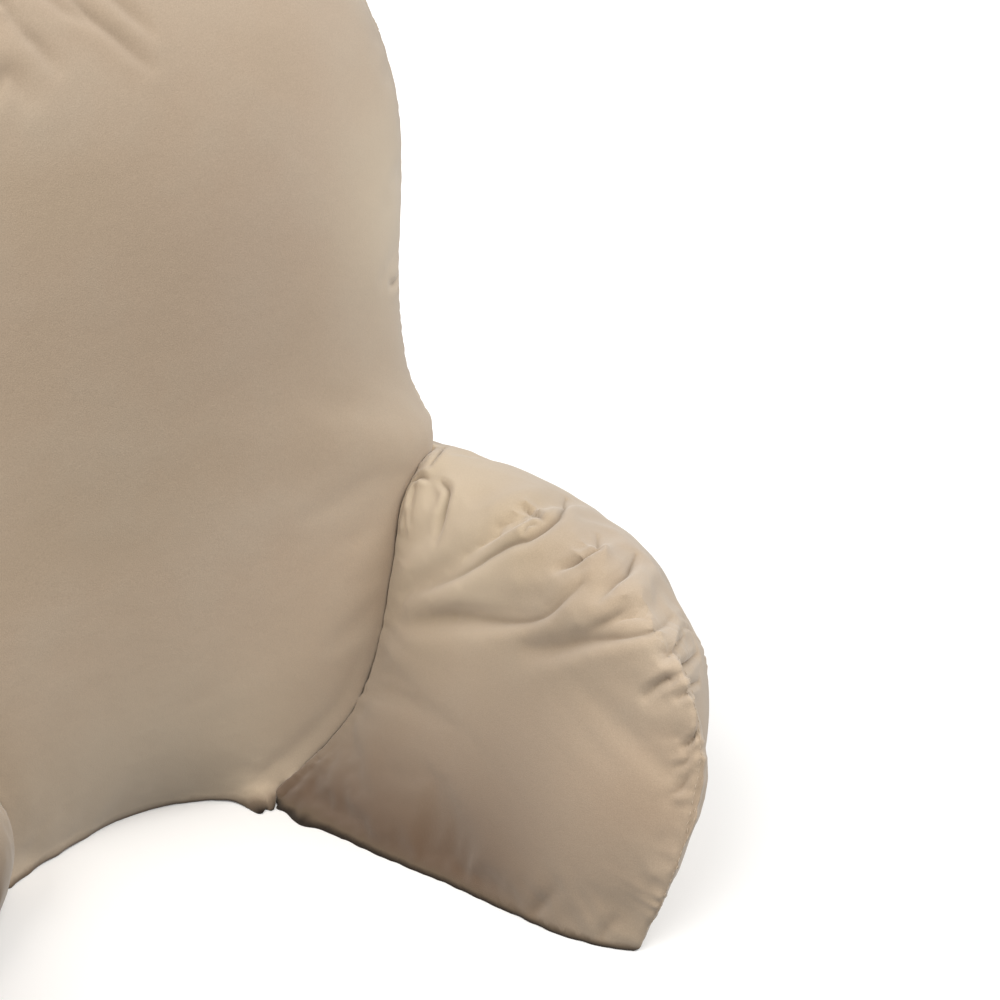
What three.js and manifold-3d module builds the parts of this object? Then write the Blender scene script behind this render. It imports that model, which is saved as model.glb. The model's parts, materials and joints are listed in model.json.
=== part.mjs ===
// Backrest pillow with two arms: three filled cushions sewn to one another, standing on a flat base.
// Millimetres, X across, Y to the rear, Z up. The arms reach towards -Y.
import * as THREE from "three";
import { mergeVertices } from "three/addons/utils/BufferGeometryUtils.js";
import Module from "manifold-3d";

const wasm = await Module();
wasm.setup();

// Back cushion.
const PANEL_MIDDLE = 262;
const FRONT_ROLL = { inner: 2.5, foot: 5, outer: 1.7 };
const REAR_ROLL = { inner: 2.2, foot: 2.2, outer: 1.8 };
const FOOT_ZONE = 70;
const FOOT_LEAN = { most: 9, at: -36, spread: 26, height: 20 };
const GUSSET_SWELL = 9;
const BACK_COLUMNS = 96;
const FRONT_ROWS = 13;
const GUSSET_ROWS = 5;
const REAR_ROWS = 7;

// Arms.
const ARM_TOE_OUT = THREE.MathUtils.degToRad(24);
const SECTION_TURN = THREE.MathUtils.degToRad(50);
const ROOT_HALF_WIDTH = 80;
const ARM_LENGTH = 247;
const LEFT_FOOT_SHARE = -0.35;
const ARM_STATIONS = 42;
const ARM_AROUND = 50;
const ARM_UNDER = 6;
const TOP_DENSITY = { at: 0.42, share: 0.35 };
const CAP_ROWS = 5;
const CAP_SWELL = 9;
const SEAM_GAP = 0.35;
const GROW_ROUNDS = 30;
const FOLD_LIP = 0.4;
const BASE_FADE = { from: 2, to: 16 };

// Edge of the back cushion, one row per point up the right side. The front seam is at x, front,
// the rear seam at rearX, rear, both at about the same height.
const EDGE = [
  { x: 0, front: 34, z: 0, rearX: 0, rear: 176, rearZ: 0 },
  { x: 26, front: 32, z: 0, rearX: 62, rear: 176, rearZ: 0 },
  { x: 50, front: 23, z: 0, rearX: 118, rear: 175, rearZ: 0 },
  { x: 67, front: 10, z: 0, rearX: 160, rear: 172, rearZ: 0 },
  { x: 80, front: 0, z: 0, rearX: 188, rear: 168, rearZ: 0 },
  { x: 111, front: 0, z: 11, rearX: 203, rear: 163, rearZ: 22 },
  { x: 138, front: 3, z: 30, rearX: 208, rear: 161, rearZ: 48 },
  { x: 158, front: 8, z: 56, rearX: 211, rear: 160, rearZ: 76 },
  { x: 172, front: 14, z: 85, rearX: 213, rear: 160, rearZ: 104 },
  { x: 182, front: 20, z: 116, rearX: 215, rear: 159, rearZ: 130 },
  { x: 196, front: 30, z: 152, rearX: 218, rear: 158, rearZ: 158 },
  { x: 231, front: 51, z: 182, rearX: 223, rear: 157, rearZ: 188 },
  { x: 219, front: 63, z: 218, rearX: 222, rear: 156, rearZ: 222 },
  { x: 220, front: 76, z: 275, rearX: 222, rear: 154, rearZ: 276 },
  { x: 225, front: 80, z: 330, rearX: 225, rear: 152, rearZ: 330 },
  { x: 223, front: 83, z: 385, rearX: 222, rear: 149, rearZ: 384 },
  { x: 211, front: 88, z: 435, rearX: 210, rear: 145, rearZ: 433 },
  { x: 182, front: 95, z: 480, rearX: 181, rear: 142, rearZ: 478 },
  { x: 138, front: 103, z: 514, rearX: 137, rear: 139, rearZ: 513 },
  { x: 76, front: 108, z: 533, rearX: 76, rear: 138, rearZ: 532 },
  { x: 0, front: 110, z: 538, rearX: 0, rear: 137, rearZ: 538 },
];

// Middle of the back cushion, one row per height: where its front and its rear face stand.
const MIDDLE = [
  { z: 0, front: 34, rear: 176 },
  { z: 45, front: 14, rear: 188 },
  { z: 110, front: 2, rear: 196 },
  { z: 200, front: -3, rear: 199 },
  { z: 300, front: 1, rear: 197 },
  { z: 380, front: 11, rear: 190 },
  { z: 440, front: 30, rear: 179 },
  { z: 490, front: 60, rear: 165 },
  { z: 525, front: 90, rear: 149 },
  { z: 538, front: 110, rear: 137 },
];

// Sections of an arm, one row per place along its inner foot line. toe, face, crest and wide are
// distances out from the foot line, at a third of the height, two thirds, the top and the outer
// side; heel is the outer foot, ahead how far the section bows forward at mid height and foot how
// far the inner foot line swings inward.
const ARM = [
  { along: -40, toe: 60, face: 86, crest: 118, height: 172, wide: 150, heel: 140, ahead: 0, foot: 0 },
  { along: 20, toe: 92, face: 122, crest: 170, height: 174, wide: 214, heel: 200, ahead: 0, foot: 1.5 },
  { along: 80, toe: 72, face: 104, crest: 152, height: 181, wide: 238, heel: 216, ahead: 0, foot: 6.5 },
  { along: 130, toe: 50, face: 82, crest: 132, height: 185, wide: 231, heel: 207, ahead: 0, foot: 8 },
  { along: 165, toe: 34, face: 64, crest: 114, height: 187, wide: 217, heel: 192, ahead: 2, foot: 11 },
  { along: 200, toe: 18, face: 46, crest: 96, height: 183, wide: 194, heel: 168, ahead: 8, foot: 13 },
  { along: 230, toe: 6, face: 30, crest: 80, height: 173, wide: 160, heel: 134, ahead: 18, foot: 8 },
  { along: 247, toe: -2, face: 18, crest: 60, height: 152, wide: 116, heel: 96, ahead: 29, foot: 2 },
];

// The left arm is fuller low down at its root, where it presses against the back cushion.
const LEFT_FULLER = [
  { along: -40, toe: -60, face: -40 },
  { along: 20, toe: -103, face: -66 },
  { along: 80, toe: -60, face: -52 },
  { along: 130, toe: -27, face: -28 },
  { along: 165, toe: -11, face: -12 },
  { along: 200, toe: -3, face: -3 },
];

// Folds of an arm's cloth, one row per fold: along the arm and up and over it as a share of the
// way from the inner foot to the outer.
const ARM_FOLDS = [
  { along: 184, up: 0.58, viaAlong: 172, viaUp: 0.4, toAlong: 80, toUp: 0.317, depth: 5, width: 7 },
  { along: 158, up: 0.465, viaAlong: 166, viaUp: 0.45, toAlong: 177, toUp: 0.44, depth: 3.5, width: 5 },
  { along: 207, up: 0.5, viaAlong: 199, viaUp: 0.41, toAlong: 170, toUp: 0.376, depth: 4, width: 6 },
  { along: 198, up: 0.396, viaAlong: 172, viaUp: 0.3, toAlong: 72, toUp: 0.288, depth: 5, width: 8 },
  { along: 223, up: 0.51, viaAlong: 222, viaUp: 0.43, toAlong: 203, toUp: 0.385, depth: 4, width: 6 },
  { along: 242, up: 0.51, viaAlong: 230, viaUp: 0.36, toAlong: 168, toUp: 0.288, depth: 4.5, width: 7 },
  { along: 246, up: 0.475, viaAlong: 241, viaUp: 0.42, toAlong: 234, toUp: 0.38, depth: 3, width: 5 },
  { along: 247, up: 0.44, viaAlong: 240, viaUp: 0.375, toAlong: 226, toUp: 0.31, depth: 3.5, width: 5 },
  { along: 247, up: 0.41, viaAlong: 241, viaUp: 0.36, toAlong: 229, toUp: 0.305, depth: 3, width: 5 },
  { along: 247, up: 0.345, viaAlong: 244, viaUp: 0.32, toAlong: 240, toUp: 0.3, depth: 3, width: 5 },
  { along: 93, up: 0.575, viaAlong: 92, viaUp: 0.5, toAlong: 78, toUp: 0.455, depth: 4, width: 6 },
  { along: 101, up: 0.465, viaAlong: 111, viaUp: 0.44, toAlong: 104, toUp: 0.39, depth: 3.5, width: 6 },
  { along: 150, up: 0.7, viaAlong: 160, viaUp: 0.74, toAlong: 190, toUp: 0.76, depth: 4, width: 8 },
  { along: 226, up: 0.62, viaAlong: 222, viaUp: 0.7, toAlong: 205, toUp: 0.76, depth: 4, width: 7 },
];

// Folds of the back cushion's cloth, one row per fold, across and up its front (side -1) or rear.
const BACK_FOLDS = [
  { side: -1, x: -60, z: 500, viaX: -34, viaZ: 478, toX: -8, toZ: 440, depth: 4, width: 9 },
  { side: -1, x: -8, z: 500, viaX: 22, viaZ: 482, toX: 42, toZ: 452, depth: 3.5, width: 8 },
  { side: -1, x: 30, z: 512, viaX: 58, viaZ: 494, toX: 74, toZ: 468, depth: 3, width: 7 },
  { side: -1, x: -150, z: 470, viaX: -118, viaZ: 446, toX: -96, toZ: 410, depth: 3.5, width: 9 },
  { side: 1, x: -176, z: 240, viaX: -146, viaZ: 252, toX: -104, toZ: 250, depth: 4, width: 10 },
  { side: 1, x: 178, z: 232, viaX: 146, viaZ: 244, toX: 112, toZ: 238, depth: 4, width: 10 },
];

function curveThrough(rows, at, keys) {
  const knots = rows.map((row) => row[at]);
  const values = rows.flatMap((row) => keys.map((key) => row[key]));
  const curve = new THREE.CubicInterpolant(knots, values, keys.length);
  return (t) => Object.fromEntries(keys.map((key, i) => [key, curve.evaluate(t)[i]]));
}

const middleAt = curveThrough(MIDDLE, "z", ["front", "rear"]);
const SECTION_KEYS = ["toe", "face", "crest", "height", "wide", "heel", "ahead", "foot"];
const fuller = ARM.map((row) => {
  const more = LEFT_FULLER.find((other) => other.along === row.along) ?? { toe: 0, face: 0 };
  return { ...row, toe: row.toe + more.toe, face: row.face + more.face };
});
const RIGHT = { at: curveThrough(ARM, "along", SECTION_KEYS), footShare: 1, drift: 0 };
const LEFT = { at: curveThrough(fuller, "along", SECTION_KEYS), footShare: LEFT_FOOT_SHARE, drift: 7 };

// Share of the drop to a seam at a fraction r of the way out, upright at the seam itself and kept
// closer to the edge where the seam is near the floor.
function roll(r, shape, seamHeight) {
  const inner = THREE.MathUtils.lerp(
    shape.foot,
    shape.inner,
    THREE.MathUtils.smoothstep(seamHeight, 0, FOOT_ZONE),
  );
  return 1 - Math.pow(1 - Math.pow(r, inner), 1 / shape.outer);
}

// How far the left half of the foot stands forward of the right one.
function footLean(p) {
  const across = (p.x - FOOT_LEAN.at) / FOOT_LEAN.spread;
  const low = 1 - THREE.MathUtils.smoothstep(p.z, 0, FOOT_LEAN.height);
  return FOOT_LEAN.most * Math.exp(-across * across) * low;
}

// One seam of the back cushion as a closed loop: up the right side and down the left.
function seamLoop(toPoint) {
  const right = new THREE.CatmullRomCurve3(EDGE.map(toPoint), false, "centripetal");
  const count = BACK_COLUMNS / 2;
  const points = [];
  for (let i = 0; i < count; i += 1) points.push(right.getPoint(i / count));
  for (let i = count; i > 0; i -= 1) {
    const p = right.getPoint(i / count);
    points.push(new THREE.Vector3(-p.x, p.y, p.z));
  }
  for (const p of points) p.z = Math.max(p.z, 0);
  return points;
}

// A face of the back cushion from its middle out to a seam.
function faceRings(seam, rows, key, shape) {
  const rings = [];
  for (let j = 1; j <= rows; j += 1) {
    const r = Math.sin((Math.PI / 2) * (j / rows));
    rings.push(
      seam.map((s) => {
        const z = THREE.MathUtils.lerp(PANEL_MIDDLE, s.z, r);
        const y = middleAt(z)[key] + (s.y - middleAt(s.z)[key]) * roll(r, shape, s.z);
        return new THREE.Vector3(s.x * r, y, z);
      }),
    );
  }
  return rings;
}

function gussetRings(front, rear) {
  const rings = [];
  for (let j = 1; j < GUSSET_ROWS; j += 1) {
    const t = j / GUSSET_ROWS;
    rings.push(
      front.map((f, i) => {
        const p = f.clone().lerp(rear[i], t);
        const free = THREE.MathUtils.smoothstep(p.z, 190, 300);
        const out = new THREE.Vector3(p.x, 0, p.z - PANEL_MIDDLE).normalize();
        return p.addScaledVector(out, GUSSET_SWELL * free * 4 * t * (1 - t));
      }),
    );
  }
  return rings;
}

function backRings() {
  const front = seamLoop((row) => new THREE.Vector3(row.x, row.front, row.z));
  for (const p of front) p.y -= footLean(p);
  const rear = seamLoop((row) => new THREE.Vector3(row.rearX, row.rear, row.rearZ));
  return [
    [new THREE.Vector3(0, middleAt(PANEL_MIDDLE).front, PANEL_MIDDLE)],
    ...faceRings(front, FRONT_ROWS, "front", FRONT_ROLL),
    ...gussetRings(front, rear),
    ...faceRings(rear, REAR_ROWS, "rear", REAR_ROLL).reverse(),
    [new THREE.Vector3(0, middleAt(PANEL_MIDDLE).rear, PANEL_MIDDLE)],
  ];
}

const OUT = new THREE.Vector3(Math.cos(SECTION_TURN), Math.sin(SECTION_TURN), 0);
const FORWARD = new THREE.Vector3(Math.sin(SECTION_TURN), -Math.cos(SECTION_TURN), 0);

// Where a section puts a point: across from the inner foot line and up as a share of the height.
function sectionPlacer(along, s, arm) {
  const bow = arm.footShare * s.foot;
  const foot = new THREE.Vector3(
    ROOT_HALF_WIDTH + along * Math.sin(ARM_TOE_OUT),
    -along * Math.cos(ARM_TOE_OUT),
    0,
  );
  return (across, up) =>
    foot
      .clone()
      .addScaledVector(OUT, across - bow * THREE.MathUtils.clamp(1 - across / s.heel, 0, 1))
      .addScaledVector(FORWARD, s.ahead * Math.sin(Math.PI * 0.88 * Math.pow(up, 1.35)))
      .setZ(up * s.height);
}

// One section of an arm, over the top from the inner foot to the outer.
function overTop(along, arm) {
  const s = arm.at(along);
  const place = sectionPlacer(along, s, arm);
  return new THREE.CatmullRomCurve3(
    [
      place(0, 0),
      place(s.toe, 0.32),
      place(s.face, 0.63),
      place(THREE.MathUtils.lerp(s.face, s.crest, 0.42), 0.9),
      place(s.crest, 1),
      place(THREE.MathUtils.lerp(s.crest, s.wide, 0.68), 0.86),
      place(s.wide, 0.48),
      place(THREE.MathUtils.lerp(s.heel, s.wide, 0.62), 0.14),
      place(s.heel, 0),
    ],
    false,
    "centripetal",
  );
}

// A closed section: over the top, denser where the cloth folds, and straight back underneath.
function armSection(along, arm) {
  const over = overTop(along, arm);
  const wave = (t) => (TOP_DENSITY.share * Math.sin(2 * Math.PI * (t - TOP_DENSITY.at))) / (2 * Math.PI);
  const ring = [];
  for (let k = 0; k <= ARM_AROUND; k += 1) {
    const t = k / ARM_AROUND;
    ring.push(over.getPointAt(THREE.MathUtils.clamp(t - wave(t) + wave(0), 0, 1)));
  }
  const heel = ring[ring.length - 1];
  for (let k = 1; k < ARM_UNDER; k += 1) ring.push(heel.clone().lerp(ring[0], k / ARM_UNDER));
  return ring;
}

function middleOf(ring) {
  return ring.reduce((sum, p) => sum.add(p), new THREE.Vector3()).divideScalar(ring.length);
}

function armRings(arm) {
  const first = ARM[0].along;
  const rings = [];
  for (let j = 0; j <= ARM_STATIONS; j += 1) {
    const t = Math.sin((Math.PI / 2) * Math.pow(j / ARM_STATIONS, 1.15));
    rings.push(armSection(THREE.MathUtils.lerp(first, ARM_LENGTH, t), arm));
  }
  const tip = rings[rings.length - 1];
  const centre = middleOf(tip);
  for (let k = 1; k < CAP_ROWS; k += 1) {
    const r = 1 - k / CAP_ROWS;
    rings.push(tip.map((p) => centre.clone().lerp(p, r).addScaledVector(FORWARD, CAP_SWELL * (1 - r * r))));
  }
  return [[middleOf(rings[0])], ...rings, [centre.clone().addScaledVector(FORWARD, CAP_SWELL)]];
}

// The line of a fold on an arm's surface.
function armFoldLine(fold, arm) {
  const line = new THREE.QuadraticBezierCurve(
    new THREE.Vector2(fold.along, fold.up),
    new THREE.Vector2(fold.viaAlong, fold.viaUp),
    new THREE.Vector2(fold.toAlong, fold.toUp),
  );
  return line.getPoints(12).map((p) => {
    const along = Math.min(p.x - arm.drift, ARM_LENGTH);
    return overTop(along, arm).getPointAt(THREE.MathUtils.clamp(p.y + arm.drift * 0.002, 0, 1));
  });
}

// The line of a fold on the front or the rear of the back cushion, off the surface at most a little.
function backFoldLine(fold) {
  const line = new THREE.QuadraticBezierCurve(
    new THREE.Vector2(fold.x, fold.z),
    new THREE.Vector2(fold.viaX, fold.viaZ),
    new THREE.Vector2(fold.toX, fold.toZ),
  );
  return line.getPoints(12).map((p) => new THREE.Vector3(p.x, fold.side, p.y));
}

// How deep a fold is at a point: a groove along the line with a low lip on both sides, running out
// at both ends.
function foldDepth(point, line, fold) {
  let nearest = Infinity;
  let share = 0;
  const segment = new THREE.Line3();
  const foot = new THREE.Vector3();
  for (let i = 0; i + 1 < line.length; i += 1) {
    segment.set(line[i], line[i + 1]);
    segment.closestPointToPoint(point, true, foot);
    const distance = foot.distanceTo(point);
    if (distance < nearest) {
      nearest = distance;
      share = (i + segment.closestPointToPointParameter(point, true)) / (line.length - 1);
    }
  }
  const x = nearest / fold.width;
  const groove = Math.exp(-x * x) - FOLD_LIP * Math.exp(-((x - 2) * (x - 2)));
  return fold.depth * groove * Math.sqrt(Math.sin(Math.PI * (0.06 + 0.88 * share)));
}

// Presses folds into a surface along its normals, leaving the base and what is near it flat.
function folded(geometry, folds, lineOf, flatten) {
  geometry.computeVertexNormals();
  const lines = folds.map((fold) => lineOf(fold));
  const position = geometry.getAttribute("position");
  const normal = geometry.getAttribute("normal");
  const p = new THREE.Vector3();
  const n = new THREE.Vector3();
  for (let i = 0; i < position.count; i += 1) {
    p.fromBufferAttribute(position, i);
    n.fromBufferAttribute(normal, i);
    let depth = 0;
    folds.forEach((fold, k) => {
      const at = flatten ? flatten(p, n, fold) : p;
      if (at) depth += foldDepth(at, lines[k], fold);
    });
    p.addScaledVector(n, -depth * THREE.MathUtils.smoothstep(p.z, BASE_FADE.from, BASE_FADE.to));
    position.setXYZ(i, p.x, p.y, p.z);
  }
  return geometry;
}

// A closed surface over rings of points, with a single point at each end.
function shellOver(rings) {
  const positions = [];
  const starts = [];
  for (const ring of rings) {
    starts.push(positions.length / 3);
    for (const p of ring) positions.push(p.x, p.y, p.z);
  }
  const index = [];
  for (let j = 0; j + 1 < rings.length; j += 1) {
    const here = rings[j].length;
    const next = rings[j + 1].length;
    const columns = Math.max(here, next);
    for (let i = 0; i < columns; i += 1) {
      const k = (i + 1) % columns;
      const a = starts[j] + (here === 1 ? 0 : i);
      const b = starts[j] + (here === 1 ? 0 : k);
      const c = starts[j + 1] + (next === 1 ? 0 : k);
      const d = starts[j + 1] + (next === 1 ? 0 : i);
      if (here > 1) index.push(a, b, c);
      if (next > 1) index.push(a, c, d);
    }
  }
  const geometry = new THREE.BufferGeometry();
  geometry.setAttribute("position", new THREE.Float32BufferAttribute(positions, 3));
  geometry.setIndex(index);
  return geometry;
}

function flipped(geometry) {
  const index = geometry.index.array;
  for (let i = 0; i < index.length; i += 3) [index[i], index[i + 1]] = [index[i + 1], index[i]];
  return geometry;
}

function solidOf(geometry) {
  const bare = geometry.clone();
  bare.deleteAttribute("normal");
  const merged = mergeVertices(bare, 1e-3);
  return new wasm.Manifold(
    new wasm.Mesh({
      numProp: 3,
      vertProperties: new Float32Array(merged.attributes.position.array),
      triVerts: new Uint32Array(merged.index.array),
    }),
  );
}

function outward(geometry) {
  return solidOf(geometry).volume() < 0 ? flipped(geometry) : geometry;
}

function geometryOf(solid) {
  const mesh = solid.getMesh();
  const geometry = new THREE.BufferGeometry();
  geometry.setAttribute("position", new THREE.Float32BufferAttribute(mesh.vertProperties, 3));
  geometry.setIndex(Array.from(mesh.triVerts));
  return geometry;
}

// The same surface moved out until each face of it lies at least a distance outside the old one.
function grown(geometry, distance) {
  const position = geometry.getAttribute("position");
  const index = geometry.index.array;
  const around = Array.from({ length: position.count }, () => []);
  const corner = [0, 1, 2].map(() => new THREE.Vector3());
  for (let i = 0; i < index.length; i += 3) {
    corner.forEach((c, k) => c.fromBufferAttribute(position, index[i + k]));
    const face = THREE.Triangle.getNormal(...corner, new THREE.Vector3());
    if (face.lengthSq() > 0.5) corner.forEach((c, k) => around[index[i + k]].push(face));
  }
  const moved = position.clone();
  around.forEach((faces, i) => {
    const step = new THREE.Vector3();
    for (let round = 0; round < GROW_ROUNDS; round += 1) {
      for (const face of faces) step.addScaledVector(face, Math.max(0, distance - step.dot(face)));
    }
    step.clampLength(0, 6 * distance);
    moved.setXYZ(i, position.getX(i) + step.x, position.getY(i) + step.y, position.getZ(i) + step.z);
  });
  return geometry.clone().setAttribute("position", moved);
}

const velour = (name, tint) =>
  new THREE.MeshStandardMaterial({ name, color: tint, roughness: 0.88, metalness: 0 });

const onFace = (p, n, fold) => (n.y * fold.side > 0.2 ? new THREE.Vector3(p.x, fold.side, p.z) : null);
const backGeometry = folded(outward(shellOver(backRings())), BACK_FOLDS, backFoldLine, onFace);
const rightArm = folded(outward(shellOver(armRings(RIGHT))), ARM_FOLDS, (fold) => armFoldLine(fold, RIGHT));
const leftShape = folded(outward(shellOver(armRings(LEFT))), ARM_FOLDS, (fold) => armFoldLine(fold, LEFT));
const leftArm = flipped(leftShape.applyMatrix4(new THREE.Matrix4().makeScale(-1, 1, 1)));
const room = solidOf(grown(backGeometry, SEAM_GAP));

const pieces = [
  { name: "back_cushion", geometry: backGeometry, tint: "#af9e89" },
  { name: "arm_right", geometry: geometryOf(solidOf(rightArm).subtract(room)), tint: "#ab997f" },
  { name: "arm_left", geometry: geometryOf(solidOf(leftArm).subtract(room)), tint: "#ab997f" },
];

const group = new THREE.Group();
group.name = "backrest_pillow";
for (const piece of pieces) {
  piece.geometry.computeVertexNormals();
  const mesh = new THREE.Mesh(piece.geometry, velour(piece.name + "_velour", piece.tint));
  mesh.name = piece.name;
  group.add(mesh);
}

// The part's frame: middle of the footprint, floor at zero.
const extent = new THREE.Box3().setFromObject(group);
const centre = extent.getCenter(new THREE.Vector3());
for (const mesh of group.children) mesh.geometry.translate(-centre.x, -centre.y, -extent.min.z);

export default group;
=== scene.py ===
"""Backrest pillow: the looks of its three filled cushions, their seams and the stage.

The solids of the frame are the cushions' true forms. Each one is copied, covered with a fine cloth
that is blown up a little by a short simulation, and then creased, puckered at its seams and given
short-pile velour. Lengths in tables are millimetres in the row frame, as in the solids.
"""

import json
import math

import bmesh
import bpy
import numpy as np
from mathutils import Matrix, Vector
from mathutils.bvhtree import BVHTree

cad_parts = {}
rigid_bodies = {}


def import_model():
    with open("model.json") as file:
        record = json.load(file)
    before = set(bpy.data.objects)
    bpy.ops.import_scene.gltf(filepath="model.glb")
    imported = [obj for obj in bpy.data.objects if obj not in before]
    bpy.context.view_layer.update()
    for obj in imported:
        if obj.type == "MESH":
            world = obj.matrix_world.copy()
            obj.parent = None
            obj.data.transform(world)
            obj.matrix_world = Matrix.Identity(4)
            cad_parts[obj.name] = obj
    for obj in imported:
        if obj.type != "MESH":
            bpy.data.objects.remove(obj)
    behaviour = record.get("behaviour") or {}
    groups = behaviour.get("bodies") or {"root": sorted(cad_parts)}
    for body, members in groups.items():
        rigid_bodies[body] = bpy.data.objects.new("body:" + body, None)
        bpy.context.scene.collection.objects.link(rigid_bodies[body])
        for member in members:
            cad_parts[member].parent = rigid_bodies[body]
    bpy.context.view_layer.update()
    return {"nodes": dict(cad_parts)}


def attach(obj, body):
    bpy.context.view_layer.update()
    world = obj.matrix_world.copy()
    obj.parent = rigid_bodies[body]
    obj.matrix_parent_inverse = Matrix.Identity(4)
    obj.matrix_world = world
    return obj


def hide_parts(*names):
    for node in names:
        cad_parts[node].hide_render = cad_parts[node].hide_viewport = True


bl_info = {
    "name": "Backrest pillow",
    "version": (1, 0, 0),
    "blender": (4, 5, 0),
    "location": "View3D > Sidebar > Pillow",
    "description": "Cloth, seams and velour of a backrest pillow with two arms",
    "category": "Object",
}

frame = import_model()

MM = 0.001
DEPTH_SHIFT = 19.63

# How the cloth is held, refined and marked, in millimetres, degrees and shares.
HELD_HEIGHT = 6
HELD_REACH = 8
FINE_REACH = 7
SHARP_REACH = 8
SEAM_REACH = 60
CREASE_STRENGTH = 1.2
CREASE_LIP = 0.34
# The next three give painted shade in the creases and along the foot, and painted light beside the seams.
CREASE_SHADE = 0.95
FOOT_SHADE_HEIGHT = 2.8
SEAM_LIGHT_WIDTH = 5
ROOT_TOP = 186
THREAD_FOOT = 6
BACK_SHARP_ANGLE = 45
ARM_SHARP_ANGLE = 50

# Least gap between an arm's cloth and the back's, in metres.
CLOTH_GAP = 0.00018

# Painted shade along the foot line, and weight of the pile's sheen.
BACK_FOOT_SHADE = 1.3
ARM_FOOT_SHADE = 2.0
SHEEN = 0.45

# Camera: turn to the left and height above the floor, distance, and the place it looks at.
CAMERA_TURN = -33.6
CAMERA_RISE = 25.0
CAMERA_DISTANCE = 1.05
CAMERA_ACROSS = 0.2027
CAMERA_UP = 0.197

# Edge of the back cushion up its right side: front seam, then rear seam.
EDGE = [
    {"x": 80, "front": 0, "z": 0, "rear_x": 188, "rear": 168, "rear_z": 0},
    {"x": 111, "front": 0, "z": 11, "rear_x": 203, "rear": 163, "rear_z": 22},
    {"x": 138, "front": 3, "z": 30, "rear_x": 208, "rear": 161, "rear_z": 48},
    {"x": 158, "front": 8, "z": 56, "rear_x": 211, "rear": 160, "rear_z": 76},
    {"x": 172, "front": 14, "z": 85, "rear_x": 213, "rear": 160, "rear_z": 104},
    {"x": 182, "front": 20, "z": 116, "rear_x": 215, "rear": 159, "rear_z": 130},
    {"x": 196, "front": 30, "z": 152, "rear_x": 218, "rear": 158, "rear_z": 158},
    {"x": 231, "front": 51, "z": 182, "rear_x": 223, "rear": 157, "rear_z": 188},
    {"x": 219, "front": 63, "z": 218, "rear_x": 222, "rear": 156, "rear_z": 222},
    {"x": 220, "front": 76, "z": 275, "rear_x": 222, "rear": 154, "rear_z": 276},
    {"x": 225, "front": 80, "z": 330, "rear_x": 225, "rear": 152, "rear_z": 330},
    {"x": 223, "front": 83, "z": 385, "rear_x": 222, "rear": 149, "rear_z": 384},
    {"x": 211, "front": 88, "z": 435, "rear_x": 210, "rear": 145, "rear_z": 433},
    {"x": 182, "front": 95, "z": 480, "rear_x": 181, "rear": 142, "rear_z": 478},
    {"x": 138, "front": 103, "z": 514, "rear_x": 137, "rear": 139, "rear_z": 513},
    {"x": 76, "front": 108, "z": 533, "rear_x": 76, "rear": 138, "rear_z": 532},
    {"x": 0, "front": 110, "z": 538, "rear_x": 0, "rear": 137, "rear_z": 538},
]

# Seam round the front end of the right arm, from the inner foot over the top to the outer foot.
TIP = [
    {"x": 180.5, "front": -225.6, "z": 0},
    {"x": 190, "front": -238, "z": 49},
    {"x": 210, "front": -231, "z": 96},
    {"x": 226, "front": -214, "z": 137},
    {"x": 236, "front": -187, "z": 152},
    {"x": 253, "front": -158, "z": 131},
    {"x": 265, "front": -151, "z": 73},
    {"x": 252, "front": -156, "z": 21},
    {"x": 242, "front": -152, "z": 0},
]

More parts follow.
